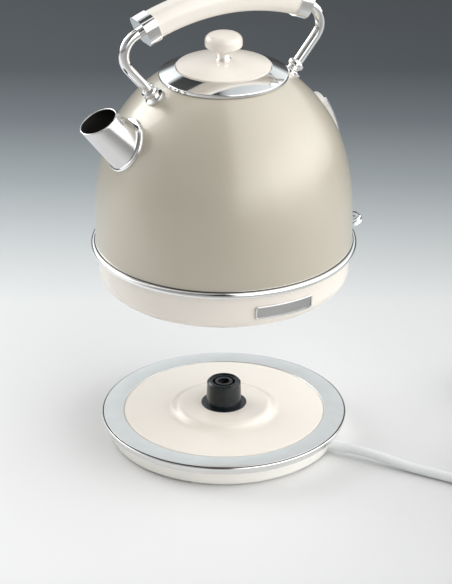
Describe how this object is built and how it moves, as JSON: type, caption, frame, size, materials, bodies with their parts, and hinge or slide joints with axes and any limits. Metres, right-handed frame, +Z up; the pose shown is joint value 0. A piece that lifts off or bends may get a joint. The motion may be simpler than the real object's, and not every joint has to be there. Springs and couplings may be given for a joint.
{
  "type": "cordless electric kettle",
  "caption": "Domed cordless kettle with chrome spout, bail handle and loose lid, lifted above its round swivel power base with a put-away cord.",
  "frame": {"origin": "on the table under the middle of the power base", "axes": "+Z up along the connector post, spout to -X, switch and water gauge to +X, badge place to -Y"},
  "size_m": [0.3576, 0.3272, 0.367],
  "materials": {
    "cream_enamel": "pearly gloss enamel",
    "cream_gloss": "gloss",
    "chrome": "polished",
    "steel": "brushed",
    "black_plastic": "satin",
    "grey_plastic": "satin",
    "clear_plastic": "clear",
    "rubber": "matte",
    "cord_sheath": "soft satin sheath",
    "contact_brass": "plated",
    "lamp": "gloss"
  },
  "bodies": {
    "base": {"base_tray": "cream_gloss", "base_trim_ring": "chrome", "base_top_plate": "cream_gloss", "base_screws": "steel", "base_pads": "rubber", "connector_post": "black_plastic", "post_contacts": "contact_brass", "terminal_block": "black_plastic", "inner_lead": "cord_sheath", "strain_relief": "cord_sheath", "cord_lead": "cord_sheath", "cord_coil": "cord_sheath", "cord_tail": "cord_sheath", "cord_tie": "cord_sheath", "plug_body": "cord_sheath", "plug_pins": "contact_brass"},
    "connector": {"connector_socket": "black_plastic"},
    "kettle": {"base_skirt": "cream_gloss", "bottom_cover": "grey_plastic", "cover_screws": "steel", "control_unit": "black_plastic", "heater_plate": "steel", "floor_seal": "rubber", "heating_element": "steel", "steam_pipe": "steel", "trim_band": "chrome", "body_shell": "cream_enamel", "spout": "chrome", "spout_collar": "chrome", "spout_filter": "steel", "front_handle_stud": "chrome", "front_stud_nut": "steel", "front_handle_arm": "chrome", "front_ferrule": "chrome", "rear_handle_stud": "chrome", "rear_stud_nut": "steel", "rear_handle_arm": "chrome", "rear_ferrule": "chrome", "handle_grip": "cream_gloss", "gauge_frame": "grey_plastic", "gauge_window": "clear_plastic", "badge_plate": "chrome", "switch_pin": "steel", "switch_bracket": "black_plastic", "indicator_lamp": "lamp"},
    "switch": {"switch_lever": "clear_plastic"},
    "lid": {"lid_rim": "chrome", "lid_cap": "cream_gloss", "lid_plug": "steel", "lid_seal": "rubber", "knob_stem": "chrome", "lid_knob": "cream_gloss", "knob_screw": "steel"}
  },
  "joints": [
    {"name": "kettle_lift", "type": "slide", "parent": "base", "child": "connector", "axis": [0, 0, 1], "range_m": [-0.1125, 0]},
    {"name": "swivel", "type": "hinge", "parent": "connector", "child": "kettle", "pos_m": [0, 0, 0.133], "axis": [0, 0, 1], "continuous": true},
    {"name": "switch_rock", "type": "hinge", "parent": "kettle", "child": "switch", "pos_m": [0.088, 0, 0.1535], "axis": [0, 1, 0], "range_deg": [0, 22]},
    {"name": "lid_lift", "type": "slide", "parent": "kettle", "child": "lid", "axis": [0, 0, 1], "range_m": [0, 0.016]}
  ]
}
